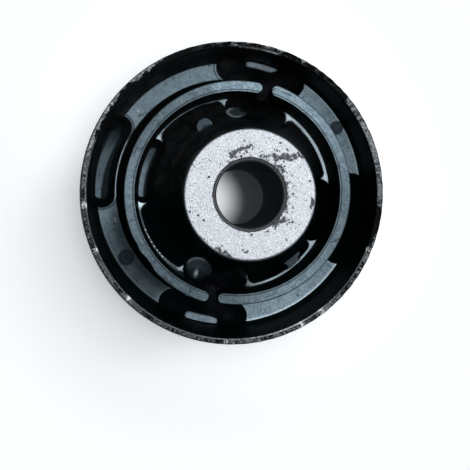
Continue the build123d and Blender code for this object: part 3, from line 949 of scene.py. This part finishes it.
def near_webs(x, y):
    """How dull and dark the rubber is made near the webs, and how bare of bloom_and_sheen and painted
    highlights.
    """
    web_dull, bare = np.zeros_like(x), np.zeros_like(x)
    for gap_x, side, rib in WEBS:
        gap = from_point(x, y, (gap_x, side * (SHELL_R - SHELL_WALL / 2)))
        away, _ = near_path(x, y, rib)
        web_dull = np.max([web_dull, ramp(gap, 4.2, 3.4), ramp(away, 2.0, 1.4)], axis=0)
        bare = np.maximum(bare, ramp(away, 2.8, 2.2))
    return web_dull, bare


def rubber_layers(points):
    """Named values at the points, for the rubber's two materials.

    mouth: distance from a pocket's edge; shine: painted highlight; bloom_and_sheen: how thick the grey
    film and painted sheen lie; web_dull: deep black near the webs; matt: above 0.5 where the dull
    material is wanted.
    """
    x, y, z = points.T
    turn = np.degrees(np.arctan2(y, x)) % 360
    on_land = (np.abs(z - LAND_Z) < 0.45) & (np.hypot(x, y) > SHELL_R - 1.5)
    inside = np.hypot(x - SHELL_X, y) < SHELL_R - 1
    on_ledge = inside & (z > LEDGE_Z - 0.05) & (z < LEDGE_Z + 0.9)
    mouth = np.where(on_land, np.clip(to_mouths(OUTER_POCKETS, x, y), -1, 3), 3)
    shine = np.maximum(land_shine(x, y, mouth, on_land), ledge_shine(x, y, on_ledge))
    bloom_and_sheen = first_bloom_and_sheen(x, y, turn, inside, on_ledge)
    shine, bloom_and_sheen = outer_patches(x, y, shine, bloom_and_sheen)
    shine, bloom_and_sheen = dishes(x, y, inside, shine, bloom_and_sheen)
    bloom_and_sheen = west_floors(x, y, z, turn, inside, bloom_and_sheen)
    bloom_and_sheen = bosses(x, y, z, inside, bloom_and_sheen)
    web_dull, bare = near_webs(x, y)
    matt = web_dull.copy()
    for *at, reach in MATT_SHADE_SPOTS:
        near = from_point(x, y, at) < reach
        matt = np.maximum(matt, near * ~on_ledge * ~on_land)
    scored = (x < 0) & (y > -14)      # the lands whose ends a fine dark line follows
    return {
        "mouth": np.where(scored, mouth, 3),
        "shine": shine * (1 - bare),
        "bloom_and_sheen": bloom_and_sheen * (1 - bare),
        "web_dull": web_dull,
        "matt": matt,
    }


def make_rubber():
    """The whole moulding: a fine sheet over the upper end, a plainer one over the lower."""
    columns = 360
    top = rubber_sheet(2 * columns, 1.1)
    below = rubber_sheet(columns, 0.5)
    below[..., 2] = 2 * MIDDLE - below[..., 2]
    points = np.concatenate([top.reshape(-1, 3), below.reshape(-1, 3)])
    start = len(top) * 2 * columns
    faces = lattice_faces(len(top), 2 * columns)
    faces += lattice_faces(len(below), columns, start, flip=True)
    # join the sheets inside the walls of both sleeves, two columns above to one below
    edges = (start - 2 * columns, len(points) - columns, -1), (0, start, 1)
    for upper, lower, order in edges:
        for i in range(columns):
            a, b, c = (upper + (2 * i + k) % (2 * columns) for k in range(3))
            d, e = lower + i, lower + (i + 1) % columns
            faces += [face[::order] for face in ((a, d, b), (b, d, e), (b, e, c))]
    piece_from(
        "rubber_moulding", points, faces, rubber_material(), "rubber_body",
        rubber_layers(points), dull_material("black_rubber_dull"),
    )


# ---- half shells
# a wavy dent in the west shell's outside: direction in degrees, depth
RING_DENT = ((214, 0), (220, 0.28), (224, 0.1), (229, 0.5), (233, 0.42), (237, 0))


def shell_levels():
    """(half width, height) of a shell's outline, from its middle up to its end."""
    half = SHELL_WALL / 2
    levels = [(half, MIDDLE), (half, SHELL_TOP - 6), (half, SHELL_TOP - 2), (half, SHELL_TOP - 0.5)]
    for turn in np.linspace(0, pi / 2, 5):
        levels.append((half - SHELL_EDGE * (1 - cos(turn)), SHELL_TOP - SHELL_EDGE * (1 - sin(turn))))
    return levels + [(half - SHELL_EDGE - 0.04, SHELL_TOP)]


def cap_faces(long_way, tip):
    """Faces of a flat end: strips between the two long sides, and one for each round tip."""
    last_in = 2 * long_way + tip - 1
    strips = [(i, i + 1, last_in - i - 1, last_in - i) for i in range(long_way - 1)]
    last_tip = tuple(range(long_way - 1, long_way + tip + 1))
    first_tip = (*range(last_in, last_in + tip + 1), 0)
    return [*strips, last_tip, first_tip]


def make_shell(name, node, shift, first, last):
    """A half shell between two end directions, in degrees, with round ends and a flat top."""
    centre, half = SHELL_R - SHELL_WALL / 2, SHELL_WALL / 2
    start, end = radians(first) + half / centre, radians(last) - half / centre
    long_way, tip = 260, 20
    axis = np.array([SHELL_X, 0]) + shift

    def outline(width):
        """Arc slot outline of that half width, run round once."""
        out = np.linspace(start, end, long_way)
        ends = np.linspace(0, pi, tip + 2)[1:-1]
        dent = by_direction(np.degrees(out), RING_DENT)[:, None]
        outside = (centre + width - dent) * unit(out)
        last_tip = centre * unit(end) + width * unit(end + ends)
        bore_side = (centre - width) * unit(out[::-1])
        first_tip = centre * unit(start) + width * unit(start + pi + ends)
        return np.concatenate([outside, last_tip, bore_side, first_tip]) + axis

    count = 2 * (long_way + tip)
    upper = [np.column_stack([outline(w), np.full(count, z)]) for w, z in shell_levels()]
    lower = [row * (1, 1, -1) + (0, 0, 2 * MIDDLE) for row in upper[:0:-1]]
    rows = np.array(lower + upper)
    faces = lattice_faces(len(rows), count)
    caps, top = cap_faces(long_way, tip), count * (len(rows) - 1)
    faces += [cap[::-1] for cap in caps]
    faces += [tuple(top + k for k in cap) for cap in caps]
    points = rows.reshape(-1, 3)
    bloom_and_sheen = by_direction(np.degrees(np.arctan2(points[:, 1], points[:, 0])), RING_BLOOM_AND_SHEEN)
    piece_from(
        name, points, faces, shell_material(node + "_coat", shift), node,
        {"bloom_and_sheen": bloom_and_sheen}, dull_material(node + "_dull"),
    )


# ---- metal sleeves
def arc_rows(centre_r, centre_z, radius, start, end, count):
    """Rows of (radius, height) along an arc, angles in degrees."""
    for turn in np.linspace(radians(start), radians(end), count):
        yield centre_r + radius * cos(turn), centre_z + radius * sin(turn)


# how far out from the rim's inner edge the black coat reaches, round the circle: degrees, share
RIM_COVER = (
    (7, 0.9), (10, -0.6), (49, -0.6), (53, 0.9), (60, 1.25), (70, 1.2), (74, 0.8), (76, 0.85),
    (79, 1.15), (82, 1.1), (84, 0.75), (86, 1.1), (99, 1.1), (103, 0.8), (105, 0.9), (107, 0.75),
    (110, 1.1), (122, 1.1), (128, 0.95), (134, 0.8), (139, 0.45), (145, 0.45), (147, 0.85),
    (152, 0.85), (155, 0.5), (170, 0.45), (182, 0.15), (230, 0.2), (348, 0.2), (355, 0.9),
)
# how speckled the wear is: degrees, share
RIM_SPECKLE = (
    (0, 0.7), (55, 0.7), (118, 0.3), (178, 0.5), (190, 0.9), (240, 1), (262, 1.25), (345, 1.25),
    (360, 0.7),
)
# how bright the wear is: degrees, share
RIM_WEAR = (
    (0, 0.9), (14, 0.8), (22, 1), (40, 1.15), (50, 1.2), (60, 1.5), (73, 3), (108, 4), (113, 1.5),
    (120, 1), (128, 1.2), (140, 2.2), (150, 1.5), (158, 2.4), (166, 1.6), (174, 2), (184, 1.35),
    (191, 0.8), (197, 1.1), (205, 0.55), (222, 0.8), (238, 0.8), (246, 0.55), (262, 0.55),
    (286, 0.65), (310, 0.72), (326, 0.8), (333, 0.4), (342, 0.9), (349, 1.5), (357, 0.8),
    (360, 0.9),
)
# how bright the hairline along the rim's inner edge is, bare steel with a painted highlight: degrees,
# share
RIM_LINE = (
    (84, 0), (85.5, 0.45), (88.5, 0.5), (91, 0.2), (97, 0.12), (101, 0), (171, 0), (182, 0.12),
    (197, 0.16), (204, 0.09), (250, 0.1), (270, 0.14), (286, 0.18), (294, 0.26), (302, 0.36),
    (310, 0.34), (318, 0.2), (326, 0.15), (334, 0.07), (345, 0.12), (352, 0),
)
RIM_GLEAMS = (102, 199, 217, 239.5, 311, 320, 350.5)    # directions of painted glints on the rim
# how deep the rim's outline is chipped: direction in degrees, share
RIM_CHIPS = (
    (0, 0.3), (50, 0.3), (60, 1.2), (115, 1.2), (125, 0.3), (200, 0.3), (330, 0.6), (360, 0.3),
)


def both_ends(half):
    """A profile that runs over the upper end, closed by its mirror image at the lower end."""
    return half + [(r, 2 * MIDDLE - z) for r, z in half[-2:0:-1]]


def sleeve_profile():
    """Rows of (radius, height) up the inside, over the rim and down the outside."""
    inner, bevel, edge = LINING_R, 0.12, 0.3
    half = [(SLEEVE_R - SLEEVE_WALL, MIDDLE), (SLEEVE_R - SLEEVE_WALL, RIM_Z - RIM_LENGTH)]
    half += [(inner + 0.3, RIM_Z - 2), (inner, RIM_Z - bevel), (inner + bevel, RIM_Z)]
    half += [(inner + bevel + (RIM_R - edge - inner - bevel) * i / 8, RIM_Z) for i in range(1, 8)]
    half += arc_rows(RIM_R - edge, RIM_Z - edge, edge, 90, 0, 6)
    taper, fall = SLEEVE_R - RIM_R, RIM_LENGTH - edge
    half += [(RIM_R + taper * i / 8, RIM_Z - edge - fall * i / 8) for i in range(1, 9)]
    half += [(SLEEVE_R, RIM_Z - RIM_LENGTH - step) for step in (1, 4, 9)] + [(SLEEVE_R, MIDDLE)]
    return both_ends(half)


def rim_chips(rows, around):
    """How deep the rim's outline is chipped and dented at each point of the sleeve."""
    chips = np.clip(waves(around, 5, 40, 90, 0.13) + 0.03, 0, 0.4)
    chips = chips * by_direction(np.degrees(around), RIM_CHIPS)
    from_axis = from_point(rows[..., 0], rows[..., 1], SLEEVE_SHIFT)
    chips = chips * ramp(from_axis, RIM_R - 0.9, RIM_R - 0.3)
    return chips * ramp(rows[..., 2], RIM_Z - 1.4, RIM_Z - 0.3)


def sleeve_layers(points):
    """Named values at the points, for the sleeve's material.

    top: on the rim's flat; round: place along the rim; cover, speckle, hairline and wear: the
    tables above; lip: where the outermost strip stays black; flash: where rubber lies over the
    rim; gleam: near a painted glint.
    """
    turn = np.degrees(np.arctan2(points[:, 1], points[:, 0])) % 360
    near_top = ramp(points[:, 2], RIM_Z - 1.2, RIM_Z - 0.4)
    return {
        "top": (points[:, 2] > RIM_Z - 0.25) * 1.0,
        "round": np.radians(turn) * RIM_R,
        "cover": by_direction(turn, RIM_COVER),
        "speckle": by_direction(turn, RIM_SPECKLE),
        "lip": ramp(turn, 116, 122) * ramp(turn, 352, 344),
        "hairline": by_direction(turn, RIM_LINE),
        "wear": by_direction(turn, RIM_WEAR),
        "flash": ramp(turn, 52, 58) * ramp(turn, 122, 112) * near_top,
        "gleam": np.max([hump(turn, place, 0.8) for place in RIM_GLEAMS], axis=0),
    }


def make_sleeve():
    """The outer sleeve, tapered in at both ends, its upper rim chipped and worn."""
    columns = 720
    rows = turned(sleeve_profile(), columns, SLEEVE_SHIFT)
    around = np.linspace(0, 2 * pi, columns, endpoint=False)
    rows[..., :2] -= rim_chips(rows, around)[..., None] * unit(around)
    points = rows.reshape(-1, 3)
    piece_from(
        "outer_sleeve_worn", points, lattice_faces(len(rows), columns, closed=True),
        sleeve_material(), "outer_sleeve", sleeve_layers(points),
    )


# where old coat is left on the end face: from x, y to x, y, reach and strength
FACE_COAT = (
    (-2.4, 7.3, 1.2, 10.4, 1.3, 0.49), (4.4, 8.5, 6.4, 9.4, 1.17, 0.49),
    (7.1, 9.2, 10.9, 10.1, 1.43, 0.53), (7.9, 7.8, 9.3, 6.4, 1.17, 0.51),
    (9.9, 5.6, 11.5, 1.8, 1.04, 0.47), (11.5, 1.8, 11.9, -1.4, 1.04, 0.47),
    (10.3, -4.9, 12.3, -3.3, 1.3, 0.51), (10.9, -5.6, 11.4, -4.2, 0.78, 0.49),
    (-4.3, -0.4, -2.9, -4.5, 0.65, 0.45), (17, 2.2, 17.4, 0.6, 0.65, 0.59),
    (12, 11, 13.2, 10.6, 0.52, 0.57), (-0.4, -12.9, 2.9, -13.9, 0.78, 0.52),
    (-4.5, -11.2, -3, -12, 0.52, 0.47), (-2.5, 5.7, 2.6, 7.7, 0.78, 0.47),
    (5.3, -12, 5.7, -12.1, 0.65, 0.52),
)


def core_profile():
    """Rows of (radius, height) up the outside, over the end face and down the bore."""
    outer, inner = CORE_R - CORE_EDGE, BORE_R + BORE_EDGE
    half = [(CORE_R, MIDDLE), (CORE_R, CONE_TOP - 1), (CORE_R, CORE_TOP - CORE_EDGE)]
    half += [(outer, CORE_TOP)]
    half += [(outer + (inner + 0.03 - outer) * i / 24, CORE_TOP) for i in range(1, 25)]
    half += [(inner, CORE_TOP - 0.02), (inner - 0.08, CORE_TOP - 0.12)]
    half += [(BORE_R + 0.08, CORE_TOP - BORE_EDGE + 0.04), (BORE_R + 0.02, CORE_TOP - BORE_EDGE)]
    half += [(BORE_R, CORE_TOP - BORE_EDGE - drop) for drop in (0.05, 0.2)]
    half += [(BORE_R, CORE_TOP - 3), (BORE_R, CORE_TOP - 10), (BORE_R, MIDDLE)]
    return both_ends(half)


def core_layers(points):
    """Named values at the points: old coat on the end face, and where the bore and its chamfer get
    their darker tone, painted shade.
    """
    x, y, z = points.T
    bent_x, bent_y = x + 0.25 * np.sin(2.3 * y + 1), y + 0.25 * np.sin(2.6 * x)
    coat = np.zeros(len(points))
    for from_x, from_y, to_x, to_y, reach, strength in FACE_COAT:
        away, _ = near_path(bent_x, bent_y, ((from_x, from_y), (to_x, to_y)))
        coat = np.maximum(coat, strength * hump(away, 0, reach))
    bore_away = np.hypot(x - CORE_X, y) - BORE_R
    coat = np.maximum(coat, 0.46 * ramp(bore_away, 1.3, 0.75))
    # thinly scattered over most of the face's middle
    side = ramp(np.cos(np.arctan2(y, x - CORE_X) - radians(50)), -0.75, 0.2)
    coat = np.maximum(coat, 0.36 * side * ramp(bore_away, 4.5, 1.0)) * (z > CORE_TOP - 0.05)
    chamfer = (bore_away > 0.12) & (bore_away < BORE_EDGE - 0.12)
    return {"coat": coat, "inside": 0.75 * chamfer + (bore_away < 0.03)}


def make_core():
    """The inner sleeve, with a chamfered bore and old coat left on its upper end face."""
    columns = 360
    rows = turned(core_profile(), columns, (CORE_X, 0))
    points = rows.reshape(-1, 3)
    piece_from(
        "inner_sleeve_blasted", points, lattice_faces(len(rows), columns, flip=True, closed=True),
        aluminium_material(), "inner_sleeve", core_layers(points),
    )


make_rubber()
make_shell("half_shell_east", "shell_east", EAST_SHIFT, -87.2, 85.1)
make_shell("half_shell_west", "shell_west", WEST_SHIFT, 90.0, 268.0)
make_sleeve()
make_core()

# ---- camera
IMAGE_SIZE = 470
FOCAL_LENGTH = 1118.9           # in pixels of the image
CAMERA_PLACE = Vector((-10.46, -5.86, 300.8))
CAMERA_AIM = Vector((2.89, -9.26, 55.0))
CAMERA_TURN = radians(13.5)     # the image's right, from +X towards +Y


def make_camera():
    data = bpy.data.cameras.new("camera")
    data.sensor_width = 36.0
    data.lens = FOCAL_LENGTH / IMAGE_SIZE * data.sensor_width
    data.clip_start, data.clip_end = 0.01, 20
    camera = new_object("camera", data)
    back = (CAMERA_PLACE - CAMERA_AIM).normalized()
    upward = Vector((-sin(CAMERA_TURN), cos(CAMERA_TURN), 0))
    right = upward.cross(back).normalized()
    turn = Matrix((right, back.cross(right), back)).transposed().to_4x4()
    camera.matrix_world = Matrix.Translation(CAMERA_PLACE * MM) @ turn
    bpy.context.scene.camera = camera


make_camera()


# ---- floor and light
FLOOR_LIFT = 0.362                        # emission that whitens the floor round the part
BORE_GLOW = 0.78                          # emission of the floor seen through the bore
GLOW_AT, GLOW_R = (-4.4, -3.0), 11.5      # where it lies
SHADE_AT, SHADE_R = (-26.6, -27.1), 20    # where the shadow keeps its depth
SHADE_LIFT = 0.13                         # what the floor gains outside it
FLOOR_HALF = 3.0                          # half the floor's side, in metres


def floor_material():
    """White, lifted a little away from the part, with painted shade under it and a painted pool of
    light where it shows through the bore.
    """
    g = Graph("floor_white")
    away = near_point(g, (0, 0))
    lift = g.times(g.step(away, SLEEVE_R - 8, SLEEVE_R + 11), FLOOR_LIFT)
    # the shadow keeps its depth towards the image's lower left alone
    clear = g.step(near_point(g, SHADE_AT), SHADE_R, SHADE_R + 16)
    clear = g.times(clear, g.step(away, SLEEVE_R - 8, SLEEVE_R))
    lift = g.times_plus(g.times(clear, g.step(away, 64, 44)), SHADE_LIFT, lift)
    glow = g.times(g.step(near_point(g, GLOW_AT), GLOW_R, GLOW_R - 9), BORE_GLOW)
    glow = g.times(glow, g.step(away, SLEEVE_R - 10, SLEEVE_R - 14))
    camera, glossy, through = (
        g.node("LightPath", f"Is {ray} Ray") for ray in ("Camera", "Glossy", "Transmission")
    )
    light = g.times_plus(lift, g.larger(camera, glossy, through), g.times(glow, camera))
    return g.surface(
        # painted shade: grey under the part, where the floor shows through the bore
        Base_Color=g.mix(g.step(away, 14, 26), (0.42, 0.46, 0.49), (0.9, 0.9, 0.9)),
        Roughness=0.8, Emission_Color=(0.93, 0.97, 1.0), Emission_Strength=light,
    )


def make_floor():
    mesh = bpy.data.meshes.new("floor")
    signs = ((-1, -1), (1, -1), (1, 1), (-1, 1))
    corners = [(across * FLOOR_HALF, along * FLOOR_HALF, 0) for across, along in signs]
    mesh.from_pydata(corners, [], [(0, 1, 2, 3)])
    mesh.materials.append(floor_material())
    floor = new_object("floor", mesh)


ROOM_LIGHT = 0.10                         # strength of the world away from the overhead light
OVERHEAD_LIGHT = 4.0                      # and in its middle
OVERHEAD_SLOPE = (0.18, 0.16)             # its middle, towards the image's right and top
OVERHEAD_CORE, OVERHEAD_END = 8, 34       # degrees from its middle


def make_world():
    """A dim room with one broad soft light overhead."""
    world = bpy.data.worlds.new("studio")
    bpy.context.scene.world = world
    world.use_nodes = True
    nodes, links = world.node_tree.nodes, world.node_tree.links
    right = Vector((cos(CAMERA_TURN), sin(CAMERA_TURN), 0))
    upward = Vector((-sin(CAMERA_TURN), cos(CAMERA_TURN), 0))
    middle = Vector((0, 0, 1)) + OVERHEAD_SLOPE[0] * right + OVERHEAD_SLOPE[1] * upward
    toward = nodes.new("ShaderNodeVectorMath")
    toward.operation = "DOT_PRODUCT"
    links.new(nodes.new("ShaderNodeTexCoord").outputs["Generated"], toward.inputs[0])
    toward.inputs[1].default_value = middle.normalized()
    glow = nodes.new("ShaderNodeMapRange")
    glow.interpolation_type = "SMOOTHSTEP"
    links.new(toward.outputs["Value"], glow.inputs["Value"])
    glow.inputs["From Min"].default_value = cos(radians(OVERHEAD_END))
    glow.inputs["From Max"].default_value = cos(radians(OVERHEAD_CORE))
    glow.inputs["To Min"].default_value = ROOM_LIGHT
    glow.inputs["To Max"].default_value = OVERHEAD_LIGHT
    background = nodes["Background"]
    background.inputs["Color"].default_value = (0.96, 0.98, 1.0, 1)
    links.new(glow.outputs[0], background.inputs["Strength"])


make_floor()
make_world()

bpy.context.scene.view_settings.view_transform = "Standard"
